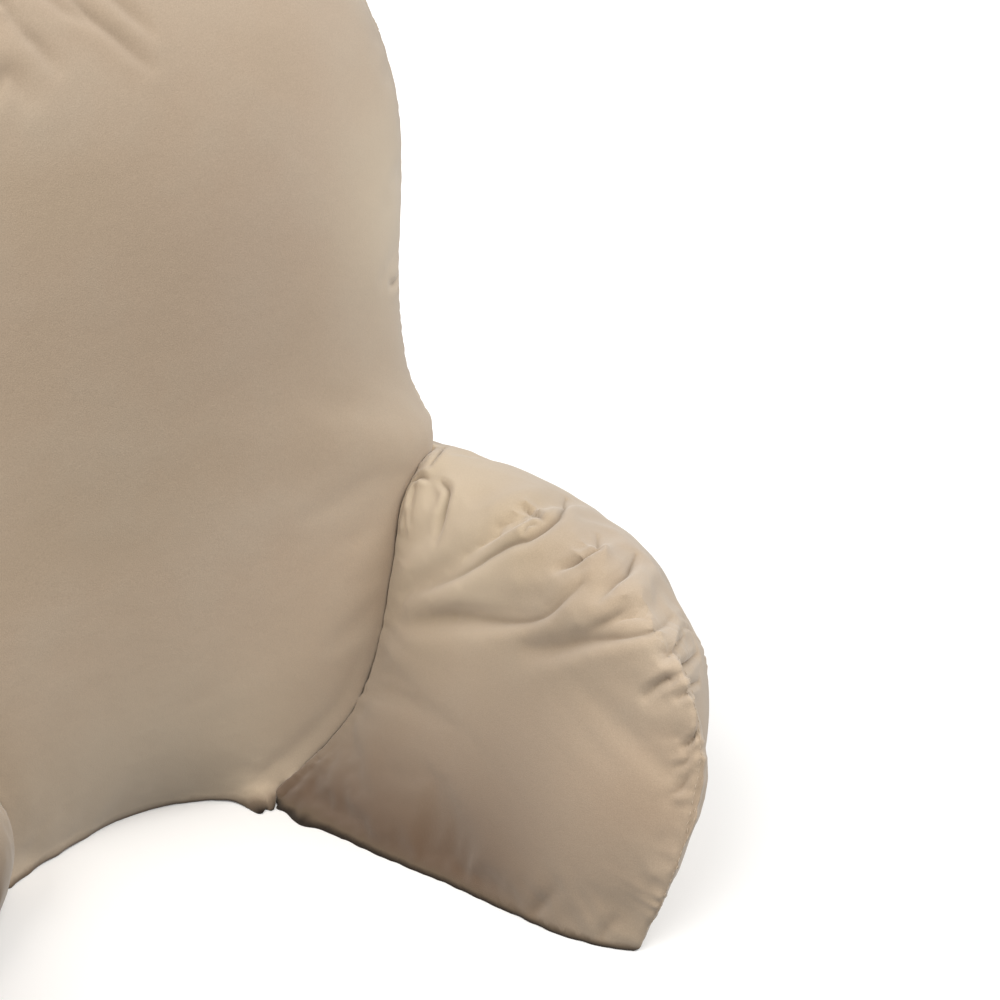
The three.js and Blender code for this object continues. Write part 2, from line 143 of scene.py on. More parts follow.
# Creases of the right arm: the places that each runs through on its surface, how deep it is, and its
# width and the share of it that is a sharp cut, both from start to end. A negative depth is a ridge.
ARM_CREASES = [
    {"through": ((253, -34, 173), (227, -66, 185), (216, -72, 183), (203, -71, 178), (196, -64, 174),
                 (185, -32, 146), (177, 14, 114)), "depth": 2.6, "width": (2.4, 7), "cut": (0.8, 0.0)},
    {"through": ((216, -44, 182), (218, -52, 180), (214, -67, 183)),
     "depth": 1.7, "width": (2.2, 2.0), "cut": (0.7, 0.5)},
    {"through": ((202, -66, 178), (206, -64, 181), (210, -67, 182)),
     "depth": 1.2, "width": (1.8, 1.6), "cut": (0.5, 0.5)},
    {"through": ((234, -90, 178), (228, -98, 177), (222, -107, 181)),
     "depth": 1.3, "width": (2.0, 1.8), "cut": (0.4, 0.6)},
    {"through": ((222, -107, 181), (212, -104, 176), (203, -98, 170)),
     "depth": 2.4, "width": (2.2, 3.0), "cut": (0.8, 0.3)},
    {"through": ((204, -117, 170), (199, -115, 165), (192, -108, 154), (188, -98, 145), (186, -80, 136),
                 (180, -31, 118), (171, 16, 97)), "depth": 2.4, "width": (3.0, 7), "cut": (0.5, 0.0)},
    {"through": ((245, -110, 172), (236, -118, 172), (226, -126, 173), (215, -129, 171), (205, -132, 167)),
     "depth": 2.3, "width": (2.4, 3.6), "cut": (0.8, 0.1)},
    {"through": ((241, -148, 153), (218, -163, 160), (206, -155, 156), (196, -134, 146), (188, -114, 134),
                 (184, -98, 128)), "depth": 2.2, "width": (3.0, 5.5), "cut": (0.5, 0.1)},
    {"through": ((212, -145, 164), (205, -142, 159), (199, -136, 153)),
     "depth": 1.5, "width": (3.0, 3.0), "cut": (0.3, 0.1)},
    {"through": ((242, -157, 145), (227, -168, 148), (215, -174, 148)),
     "depth": 2.0, "width": (2.0, 2.6), "cut": (0.8, 0.4)},
    {"through": ((254, -154, 129), (229, -171, 137), (210, -178, 137), (205, -173, 129)),
     "depth": 2.8, "width": (2.2, 2.8), "cut": (0.8, 0.3)},
    {"through": ((245, -167, 121), (220, -189, 135), (213, -188, 132)),
     "depth": 2.6, "width": (2.2, 2.2), "cut": (0.7, 0.5)},
    {"through": ((216, -201, 118), (214, -200, 113), (211, -197, 109)),
     "depth": 2.4, "width": (1.8, 2.0), "cut": (0.7, 0.4)},
    {"through": ((211, -202, 106), (209, -201, 102), (206, -198, 99)),
     "depth": 1.2, "width": (2.0, 2.0), "cut": (0.4, 0.2)},
    {"through": ((209, -205, 97), (204, -204, 90), (199, -202, 87)),
     "depth": 1.4, "width": (2.2, 2.6), "cut": (0.4, 0.2)},
    {"through": ((202, 18, 177), (199, 6, 174), (186, -1, 154)),
     "depth": 2.2, "width": (2.2, 4.4), "cut": (0.6, 0.0)},
    {"through": ((229, 58, 178), (215, 42, 183), (205, 35, 181)),
     "depth": 2.2, "width": (2.4, 2.4), "cut": (0.6, 0.6)},
    {"through": ((196, 43, 169), (198, 36, 175), (199, 28, 176)),
     "depth": 1.7, "width": (2.0, 2.2), "cut": (0.7, 0.3)},
    {"through": ((197, 40, 170), (191, 35, 161), (186, 29, 148)),
     "depth": -1.3, "width": (1.8, 2.2), "cut": (0.3, 0.1)},
    {"through": ((191, 38, 168), (187, 36, 155), (184, 35, 143)),
     "depth": -1.5, "width": (1.6, 1.8), "cut": (0.3, 0.3)},
    {"through": ((147, -154, 3), (151, -158, 11), (155, -166, 24)),
     "depth": 1.5, "width": (3.4, 5.0), "cut": (0.1, 0.0)},
    {"through": ((165, -192, 1), (168, -193, 10), (173, -198, 20)),
     "depth": 1.4, "width": (3.4, 4.6), "cut": (0.1, 0.0)},
    {"through": ((286, 60, 150), (291, 20, 132), (290, -30, 120)),
     "depth": 2.2, "width": (3.0, 6.0), "cut": (0.4, 0.0)},
    {"through": ((276, 96, 120), (286, 70, 96), (289, 40, 70)),
     "depth": 2.0, "width": (3.0, 6.0), "cut": (0.4, 0.0)},
]

# Creases of the back cushion, on its front and on its rear.
BACK_CREASES = [
    {"through": ((-24, 66, 470), (-12, 61, 463), (-9, 59, 460), (-8, 57, 455)),
     "depth": 0.9, "width": (2.6, 3.0), "cut": (0.4, 0.2)},
    {"through": ((-8, 56, 456), (-3, 52, 448), (1, 50, 443), (6, 46, 433)),
     "depth": 1.2, "width": (3.4, 4.4), "cut": (0.2, 0.0)},
    {"through": ((20, 62, 466), (32, 55, 451), (41, 51, 442), (54, 45, 428)),
     "depth": 1.2, "width": (3.6, 4.2), "cut": (0.5, 0.1)},
    {"through": ((34, 66, 472), (45, 59, 459), (51, 56, 452), (59, 52, 444)),
     "depth": 0.9, "width": (3.6, 4.0), "cut": (0.2, 0.0)},
    {"through": ((2, 64, 470), (13, 59, 462), (18, 57, 457), (29, 55, 450)),
     "depth": 0.9, "width": (3.6, 4.0), "cut": (0.2, 0.0)},
    {"through": ((-36, 42, 418), (-22, 45, 431), (-16, 46, 432), (-10, 42, 422)),
     "depth": 1.3, "width": (5.0, 6.0), "cut": (0.1, 0.0)},
    {"through": ((-96, 62, 452), (-72, 56, 444), (-58, 48, 424)),
     "depth": 0.9, "width": (4.0, 6.0), "cut": (0.3, 0.0)},
    {"through": ((214, 84, 281), (207, 74, 281), (198, 65, 284)),
     "depth": 1.7, "width": (2.4, 3.0), "cut": (0.6, 0.1)},
    {"through": ((-198, 178, 236), (-150, 200, 250), (-96, 212, 252)),
     "depth": 2.4, "width": (3.6, 7.0), "cut": (0.4, 0.0)},
    {"through": ((198, 178, 230), (150, 200, 246), (104, 212, 240)),
     "depth": 2.4, "width": (3.6, 7.0), "cut": (0.4, 0.0)},
    {"through": ((-170, 176, 60), (-140, 196, 110), (-126, 206, 170)),
     "depth": 1.8, "width": (4.0, 8.0), "cut": (0.2, 0.0)},
    {"through": ((172, 176, 60), (144, 196, 104), (132, 206, 160)),
     "depth": 1.8, "width": (4.0, 8.0), "cut": (0.2, 0.0)},
]

# Places where the filling stands out more, or less, than in the solids.
PUFFS = [
    {"piece": "backrest_cushion", "at": (216, 88, 377), "reach": 42, "out": 2.8},
    {"piece": "backrest_cushion", "at": (-216, 88, 377), "reach": 42, "out": 2.8},
    {"piece": "right_arm", "at": (237, 10, 181), "reach": 34, "out": 2.2},
    {"piece": "left_arm", "at": (-237, 10, 181), "reach": 34, "out": 2.2},
    {"piece": "left_arm", "at": (-91, -20, 34), "reach": 22, "out": -2.0},
    {"piece": "left_arm", "at": (-91, -26, 2), "reach": 18, "out": -6.0},
]

# Small folds of cloth at the foot where the right arm meets the back: how far each is drawn along the
# floor, and how deep the shade painted on it is.
LOBES = [
    {"piece": "backrest_cushion", "at": (76, 26, 0), "reach": (7, 8, 5), "move": (-2, -13, 0), "dark": 2.2},
    {"piece": "backrest_cushion", "at": (83, 28, 0), "reach": (7, 9, 5), "move": (-2, -15, 0), "dark": 2.2},
    {"piece": "right_arm", "at": (79, 22, 0), "reach": (6, 6, 6), "move": (6, -3, 0), "dark": 1.6},
    {"piece": "right_arm", "at": (90, -7, 0), "reach": (9, 9, 8), "move": (-4.2, -1, 0), "dark": 2.2},
]

# Places of painted shade, where the cloth takes a deeper tone, or of painted light (below 0), a paler one.
PAINTED_LIGHT_AND_SHADE = [
    {"piece": "arm", "at": (92, 15, 4), "reach": 25, "amount": 0.3},
    {"piece": "arm", "at": (105, -20, 0), "reach": 75, "amount": 0.95},
    {"piece": "arm", "at": (138, -110, 0), "reach": 60, "amount": 0.65},
    {"piece": "arm", "at": (165, -165, 20), "reach": 70, "amount": 0.3},
    {"piece": "arm", "at": (180, -110, 90), "reach": 60, "amount": 0.25},
    {"piece": "arm", "at": (188, -200, 75), "reach": 35, "amount": 0.25},
    {"piece": "arm", "at": (238, -70, 182), "reach": 75, "amount": 0.3},
    {"piece": "arm", "at": (190, 24, 150), "reach": 40, "amount": -0.9},
    {"piece": "arm", "at": (188, -48, 148), "reach": 38, "amount": -0.6},
    {"piece": "backrest_cushion", "at": (20, 26, 36), "reach": 90, "amount": -0.5},
    {"piece": "backrest_cushion", "at": (208, 72, 330), "reach": 60, "amount": -0.9},
    {"piece": "backrest_cushion", "at": (60, 10, 300), "reach": 130, "amount": 0.16},
]


class CushionSettings(bpy.types.PropertyGroup):
    """How a cushion's cloth is made from its solid."""

    back_voxel: bpy.props.FloatProperty(
        name="Back cloth", description="Cloth spacing on the back cushion", default=0.0067,
        subtype="DISTANCE", unit="LENGTH")
    arm_voxel: bpy.props.FloatProperty(
        name="Arm cloth", description="Cloth spacing on the arms", default=0.0042,
        subtype="DISTANCE", unit="LENGTH")
    pressure: bpy.props.FloatProperty(
        name="Pressure", description="How hard the filling pushes the cloth out", default=3.0)
    back_slack: bpy.props.FloatProperty(
        name="Back slack", description="Share by which the back's cloth is cut larger", default=0.004)
    arm_slack: bpy.props.FloatProperty(
        name="Arm slack", description="Share by which an arm's cloth is cut larger", default=0.02)
    most_motion: bpy.props.FloatProperty(
        name="Most motion", description="How far a point of the cloth may leave the solid's surface",
        default=0.0055, subtype="DISTANCE", unit="LENGTH")
    frames: bpy.props.IntProperty(
        name="Frames", description="Length of the cloth simulation", default=20)


class SeamSettings(bpy.types.PropertyGroup):
    """Thread along the sewn edges."""

    stitch_spacing: bpy.props.FloatProperty(
        name="Stitch spacing", description="From one stitch to the next", default=0.0042,
        subtype="DISTANCE", unit="LENGTH")
    stitch_length: bpy.props.FloatProperty(
        name="Stitch length", description="Length of thread that shows", default=0.0024,
        subtype="DISTANCE", unit="LENGTH")
    thread_radius: bpy.props.FloatProperty(
        name="Thread radius", description="Half the thread's thickness", default=0.00022,
        subtype="DISTANCE", unit="LENGTH")


class StageSettings(bpy.types.PropertyGroup):
    """Camera lens and the strengths of the light."""

    lens: bpy.props.FloatProperty(
        name="Lens", description="Focal length on a 36 mm sensor", default=67.17, subtype="DISTANCE_CAMERA")
    sky: bpy.props.FloatProperty(name="Sky", description="Strength of the even light", default=0.5)
    key: bpy.props.FloatProperty(name="Key", description="Strength of the light from the front", default=2.2)
    fill: bpy.props.FloatProperty(name="Fill", description="Strength of the light from the left", default=2.0)


# Mesh points as arrays.


def points_of(mesh):
    """Vertex positions of a mesh, one row each."""
    flat = np.empty(len(mesh.vertices) * 3, np.float32)
    mesh.vertices.foreach_get("co", flat)
    return flat.reshape(-1, 3).astype(float)


def set_points(mesh, points):
    """Moves the vertices of a mesh."""
    mesh.vertices.foreach_set("co", points.astype(np.float32).ravel())
    mesh.update()


def normals_of(mesh):
    """Vertex normals of a mesh, one row each."""
    flat = np.empty(len(mesh.vertices) * 3, np.float32)
    mesh.vertex_normals.foreach_get("vector", flat)
    return flat.reshape(-1, 3).astype(float)


def smoothed(mesh, points, rounds, weight=0.5):
    """Points moved towards the mean of their neighbours, a few times."""
    ends = np.empty(len(mesh.edges) * 2, np.int32)
    mesh.edges.foreach_get("vertices", ends)
    a, b = ends[0::2], ends[1::2]
    count = np.bincount(ends, minlength=len(points))[:, None]
    for _ in range(rounds):
        total = np.empty_like(points)
        for axis in range(3):
            column = points[:, axis]
            total[:, axis] = np.bincount(a, column[b], len(points)) + np.bincount(b, column[a], len(points))
        points = points + weight * (total / count - points)
    return points


def smoothstep(value, low, high):
    """0 below low, 1 above high, smooth in between."""
    t = np.clip((value - low) / (high - low), 0, 1)
    return t * t * (3 - 2 * t)


def curve_points(rows, spacing=1.5):
    """A smooth line through points, in millimetres, with its points evenly spaced."""
    rows = np.asarray(rows, float)
    padded = np.vstack([2 * rows[0] - rows[1], rows, 2 * rows[-1] - rows[-2]])
    line = []
    for i in range(len(rows) - 1):
        p0, p1, p2, p3 = padded[i:i + 4]
        t = np.linspace(0, 1, 24, endpoint=False)[:, None]
        line.append(0.5 * (2 * p1 + (p2 - p0) * t + (2 * p0 - 5 * p1 + 4 * p2 - p3) * t ** 2
                           + (3 * p1 - p0 - 3 * p2 + p3) * t ** 3))
    line = np.vstack([*line, rows[-1:]])
    run = np.r_[0, np.cumsum(np.linalg.norm(np.diff(line, axis=0), axis=1))]
    even = np.linspace(0, run[-1], max(2, int(run[-1] / spacing)))
    return np.stack([np.interp(even, run, line[:, k]) for k in range(3)], 1)


def along_line(points, line, reach):
    """For each point its distance to a line and how far along the line its nearest place is.

    Both are in the line's own unit; points further off than reach get an infinite distance.
    """
    away = np.full(len(points), np.inf)
    run = np.zeros(len(points))
    near = np.nonzero(((points > line.min(0) - reach) & (points < line.max(0) + reach)).all(1))[0]
    length = np.r_[0, np.cumsum(np.linalg.norm(np.diff(line, axis=0), axis=1))]
    start, step = line[:-1], np.diff(line, axis=0)
    squared = (step ** 2).sum(1)
    for first in range(0, len(near), 4000):
        rows = near[first:first + 4000]
        offset = points[rows, None, :] - start[None]
        t = np.clip((offset * step[None]).sum(2) / squared[None], 0, 1)
        gap = np.linalg.norm(offset - t[..., None] * step[None], axis=2)
        best = gap.argmin(1)
        pick = np.arange(len(rows))
        away[rows] = gap[pick, best]
        run[rows] = length[best] + t[pick, best] * np.sqrt(squared[best])
    return away, run


# Seams.


def edge_line(x, depth, z, mirror=1):
    """The line of one seam of the back cushion up one side, in millimetres."""
    return curve_points([(mirror * r[x], r[depth] + DEPTH_SHIFT, r[z]) for r in EDGE])


def tip_line(mirror=1):
    """The line of the seam round an arm's front end."""
    return curve_points([(mirror * r["x"], r["front"] + DEPTH_SHIFT, r["z"]) for r in TIP])


def back_seams():
    """Front and rear seams of the back cushion, right and left halves."""
    front = [edge_line("x", "front", "z", side) for side in (1, -1)]
    rear = [edge_line("rear_x", "rear", "rear_z", side) for side in (1, -1)]
    return front, rear


def on_surface(line, tree):
    """A line in millimetres laid on to a surface in metres."""
    return np.array([tree.find_nearest(Vector(p * MM))[0] for p in line]) / MM


# Cloth.


def tree_of(obj):
    """A search tree over an object's faces, in the row frame."""
    mesh = obj.data
    return BVHTree.FromPolygons([v.co for v in mesh.vertices], [p.vertices for p in mesh.polygons])


def evaluated_copy(obj, name):
    """A new mesh with an object's modifiers worked in."""
    graph = bpy.context.evaluated_depsgraph_get()
    mesh = bpy.data.meshes.new_from_object(obj.evaluated_get(graph), depsgraph=graph)
    mesh.name = name
    return mesh


def cloth_over(node, name, voxel, rounds):
    """An even cloth mesh over a solid of the frame, its facets smoothed away and its base flat."""
    source = bpy.data.objects.new(name, frame["nodes"][node].data.copy())
    bpy.context.scene.collection.objects.link(source)
    source.data.materials.clear()
    remesh = source.modifiers.new("Even cloth", "REMESH")
    remesh.mode = "VOXEL"
    remesh.voxel_size = voxel
    mesh = evaluated_copy(source, name)
    source.modifiers.clear()
    source.data = mesh
    points = points_of(mesh)
    base = points[:, 2] < 0.45 * voxel
    soft = smoothed(mesh, points, rounds)
    points = soft + smoothed(mesh, points - soft, rounds)
    points[base, 2] = 0
    points[:, 2] = np.maximum(points[:, 2], 0)
    set_points(mesh, points)
    return source


def hold(obj, points, lines, others):
    """Gives the cloth weights that hold its base, its seams and what touches a neighbour."""
    fixed = np.clip(1 - points[:, 2] / (HELD_HEIGHT * MM), 0, 1)
    for line in lines:
        away, _ = along_line(points / MM, line, 14)
        fixed = np.maximum(fixed, np.clip(1.25 - away / HELD_REACH, 0, 1))
    for tree in others:
        hits = map(tree.find_nearest, map(Vector, points))
        gap = np.array([1.0 if hit[3] is None else hit[3] for hit in hits])
        fixed = np.maximum(fixed, np.clip(1.3 - gap / (HELD_REACH * MM), 0, 1))
    group = obj.vertex_groups.new(name="Held")
    for level in range(1, 11):
        rows = np.nonzero(np.round(fixed * 10) == level)[0]
        if len(rows):
            group.add(rows.tolist(), level / 10, "REPLACE")


def fill(obj, lines, others, slack, settings):
    """Blows the cloth up with a short simulation, each point's motion kept small."""
    mesh = obj.data
    before = points_of(mesh)
    hold(obj, before, lines, others)
    cloth = obj.modifiers.new("Filling", "CLOTH")
    value = cloth.settings
    value.quality = 6
    value.mass = 0.25
    value.tension_stiffness = 18
    value.compression_stiffness = 18
    value.shear_stiffness = 6
    value.bending_stiffness = 0.8
    value.use_pressure = True
    value.uniform_pressure_force = settings.pressure
    value.shrink_min = -slack
    value.vertex_group_mass = "Held"
    value.effector_weights.gravity = 0
    cloth.collision_settings.use_collision = False
    cloth.point_cache.frame_start = 1
    cloth.point_cache.frame_end = settings.frames
    scene = bpy.context.scene
    for step in range(1, settings.frames + 1):
        scene.frame_set(step)
    after = points_of(evaluated_copy(obj, obj.name + "_filled"))
    obj.modifiers.clear()
    scene.frame_set(1)
    move = after - before
    far = np.linalg.norm(move, axis=1)[:, None]
    if not np.isfinite(move).all():
        raise RuntimeError(obj.name + ": the cloth simulation ran away")
    limit = settings.most_motion
    move *= limit * np.tanh(far / limit) / np.maximum(far, 1e-9)
    points = before + move
    points[:, 2] = np.maximum(points[:, 2], 0)
    set_points(mesh, points)


def subdivided(obj):
    """Worked-in subdivision, once."""
    smooth = obj.modifiers.new("Fine cloth", "SUBSURF")
    smooth.levels = smooth.render_levels = 1
    mesh = evaluated_copy(obj, obj.name)
    obj.modifiers.clear()
    obj.data = mesh


def finer_near(obj, lines):
    """Splits the faces near some lines once more, and evens out what that leaves."""
    points = points_of(obj.data) / MM
    near = np.zeros(len(points), bool)
    for line in lines:
        near |= along_line(points, line, FINE_REACH)[0] < FINE_REACH
    shape = bmesh.new()
    shape.from_mesh(obj.data)
    shape.verts.ensure_lookup_table()
    edges = [e for e in shape.edges if near[e.verts[0].index] and near[e.verts[1].index]]
    made = bmesh.ops.subdivide_edges(shape, edges=edges, cuts=1, use_grid_fill=True)["geom_inner"]
    fresh = {v for v in made if isinstance(v, bmesh.types.BMVert)}
    around = [v for v in fresh if v.co.z > 1e-5]
    axes = {"use_axis_x": True, "use_axis_y": True, "use_axis_z": True}
    for _ in range(2):
        bmesh.ops.smooth_vert(shape, verts=around, factor=0.5, **axes)
    shape.to_mesh(obj.data)
    shape.free()


def sharp_lines(node, angle):
    """The sharp edges of a solid of the frame as (starts, ends), in millimetres."""
    shape = bmesh.new()
    shape.from_mesh(frame["nodes"][node].data)
    bmesh.ops.remove_doubles(shape, verts=shape.verts, dist=1e-5)
    sharp = [e for e in shape.edges if e.is_manifold and e.calc_face_angle() > angle]
    ends = np.array([[v.co[:] for v in e.verts] for e in sharp]) / MM
    shape.free()
    return ends[:, 0], ends[:, 1]


def drawn_to(obj, edges):
    """Pulls the cloth out to sharp edges that its spacing has rounded off."""
    start, end = edges
    reach = SHARP_REACH
    step = end - start
    squared = np.maximum((step ** 2).sum(1), 1e-9)
    points = points_of(obj.data) / MM
    inside = ((points > start.min(0) - reach) & (points < start.max(0) + reach)).all(1)
    rows = np.nonzero(inside)[0]
    for first in range(0, len(rows), 2000):
        part = rows[first:first + 2000]
        offset = points[part, None, :] - start[None]
        t = np.clip((offset * step[None]).sum(2) / squared[None], 0, 1)
        gap = start[None] + t[..., None] * step[None] - points[part, None, :]
        away = np.linalg.norm(gap, axis=2)
        best = away.argmin(1)
        pick = np.arange(len(part))
        nearest, far = gap[pick, best], away[pick, best][:, None]
        share = np.clip(1 - far / reach, 0, 1)
        points[part] += nearest * share * share * (3 - 2 * share)
    points[:, 2] = np.maximum(points[:, 2], 0)
    set_points(obj.data, points * MM)


def groove(away, width, cut, lip):
    """Profile of a crease: a soft dip with a sharp cut in its middle and a low lip on both sides."""
    x = away / width
    sharp = np.exp(-(x / 0.36) ** 2)
    return (1 - cut) * np.exp(-x * x) + cut * sharp - lip * np.exp(-((x - 1.9) ** 2) / 1.2)


def pucker(run, away, wave, reach, seed):
    """Irregular gathers across a seam, dying out away from it."""
    phase = run / wave + 0.34 * np.sin(run / (0.93 * wave) + seed)
    phase += 0.22 * np.sin(run / (0.41 * wave) + 2 * seed)
    strength = 0.62 + 0.38 * np.sin(run / (0.57 * wave) + 3 * seed)
    return strength * np.cos(2 * math.pi * phase) * np.exp(-away / reach) * smoothstep(away, 0, 3)


def puffed(obj):
    """Brings the filling out, or in, at the places of the table."""
    mesh = obj.data
    points, normals = points_of(mesh), normals_of(mesh)
    for row in PUFFS:
        if row["piece"] == obj.name:
            away = np.linalg.norm(points / MM - row["at"], axis=1) / row["reach"]
            points += normals * (row["out"] * MM * np.exp(-away * away))[:, None]
    points[:, 2] = np.maximum(points[:, 2], 0)
    set_points(mesh, points)


def lobed(obj, folds):
    """Draws out the small folds at the foot and gives the shade painted at each point."""
    mesh = obj.data
    points = points_of(mesh)
    dark = np.zeros(len(points))
    for row in folds:
        away = (points / MM - row["at"]) / row["reach"]
        share = np.exp(-((away ** 2).sum(1)))
        points += share[:, None] * np.array(row["move"]) * MM
        dark = np.maximum(dark, row["dark"] * share)
    set_points(mesh, points)
    return dark


def crease_lines(obj, creases, mirror=1):
    """The creases with their lines laid on the cloth."""
    tree = tree_of(obj)
    return [
        {**crease, "line": on_surface(curve_points(np.array(crease["through"]) * (mirror, 1, 1)), tree)}
        for crease in creases
    ]


def press_creases(creases, place, depth, hollow):
    """Adds the creases' depths at each place, and the shade painted in them."""
    for crease in creases:
        away, run = along_line(place, crease["line"], 4 * max(crease["width"]))
        seen = np.nonzero(np.isfinite(away))[0]
        share = run[seen] / np.linalg.norm(np.diff(crease["line"], axis=0), axis=1).sum()
        ends = np.sqrt(np.clip(np.sin(math.pi * (0.04 + 0.92 * np.clip(share, 0, 1))), 0, 1))
        width, cut = (np.interp(share, (0, 1), crease[key]) for key in ("width", "cut"))
        shape = groove(away[seen], width, cut, CREASE_LIP) * ends
        depth[seen] += CREASE_STRENGTH * crease["depth"] * shape
        # Painted shade in the crease, deeper where the cut is sharp.
        shade = np.clip(shape, 0, 1) ** 1.5 * np.clip(crease["depth"] / 2.4, 0, 1) * (0.35 + cut)
        hollow[seen] = np.maximum(hollow[seen], CREASE_SHADE * shade)


def press_seams(seams, place, depth, hollow, brushed):
    """Adds the seams' depths, lips and gathers, the shade painted in them and the light painted beside them.
    """
    for seam in seams:
        away, run = along_line(place, seam["line"], SEAM_REACH)
        seen = np.isfinite(away)
        away, run, height = away[seen], run[seen], place[seen, 2]
        width = seam["width"]
        shape = np.exp(-(away / width) ** 2)
        depth[seen] += seam["depth"] * shape
        depth[seen] -= seam["lip"] * np.exp(-((away - 2.2 * width) / width) ** 2)
        depth[seen] += seam["gather"] * pucker(run, away, seam["wave"], seam["reach"], seam["seed"])
        # Painted shade in the seam line.
        hollow[seen] = np.maximum(hollow[seen], seam["dark"] * shape)
        # Painted light: paler cloth beside the seam, mostly between about 30 and 180 mm up.
        light_band = smoothstep(height, 30, 130) * (1 - 0.75 * smoothstep(height, 180, 260))
        brushed[seen] -= seam["painted_light"] * light_band * np.exp(-(away / SEAM_LIGHT_WIDTH) ** 2)


def paint_light_and_shade(obj, place, brushed):
    """Adds the painted shade and painted light of the table, mirrored on the left arm."""
    for row in PAINTED_LIGHT_AND_SHADE:
        if row["piece"] in obj.name:
            side = np.sign(place[:, 0].mean()) if row["piece"] == "arm" else 1
            centre = np.array(row["at"]) * (side, 1, 1)
            away = np.linalg.norm(place - centre, axis=1) / row["reach"]
            brushed += row["amount"] * np.exp(-away * away)


def detail(obj, creases, seams, foot_shade):
    """Presses creases and seams into a finished cloth and keeps, for each point, the shade and light painted
    on it.
    """
    folds = [row for row in LOBES if row["piece"] == obj.name]
    lines = [part["line"] for part in (*creases, *seams)]
    lines += [np.array([row["at"], np.add(row["at"], row["move"])], float) for row in folds]
    finer_near(obj, lines)
    dark = lobed(obj, folds)
    mesh = obj.data
    points = points_of(mesh)
    normals = normals_of(mesh)
    place = points / MM
    depth = np.zeros(len(points))
    hollow = np.zeros(len(points))
    brushed = np.zeros(len(points))
    press_creases(creases, place, depth, hollow)
    press_seams(seams, place, depth, hollow, brushed)
    paint_light_and_shade(obj, place, brushed)
    # Painted contact shadow along the foot of the cloth.
    foot = foot_shade * np.exp(-(place[:, 2] / FOOT_SHADE_HEIGHT) ** 2)
    hollow = np.maximum.reduce([hollow, foot, dark])
    depth *= smoothstep(place[:, 2], 0.3, 5)
    points -= normals * depth[:, None] * MM
    points[:, 2] = np.maximum(points[:, 2], 0)
    set_points(mesh, points)
    for name, values in (("hollow", hollow), ("brushed", brushed)):
        attribute = mesh.attributes.new(name, "FLOAT", "POINT")
        attribute.data.foreach_set("value", values.astype(np.float32))
    mesh.shade_smooth()


def kept_apart(obj, other):
    """Moves points of obj that have come inside other back out to its surface."""
    tree = tree_of(other)
    points = points_of(obj.data)
    for i, p in enumerate(points):
        place, normal, _, _ = tree.find_nearest(Vector(p), 0.012)
        if place is not None and (Vector(p) - place).dot(normal) < CLOTH_GAP:
            points[i] = place + normal * CLOTH_GAP
    points[:, 2] = np.maximum(points[:, 2], 0)
    set_points(obj.data, points)


# Materials.


def link_chain(tree, pairs):
    """Links sockets given as (from socket, to socket)."""
    for a, b in pairs:
        tree.links.new(a, b)


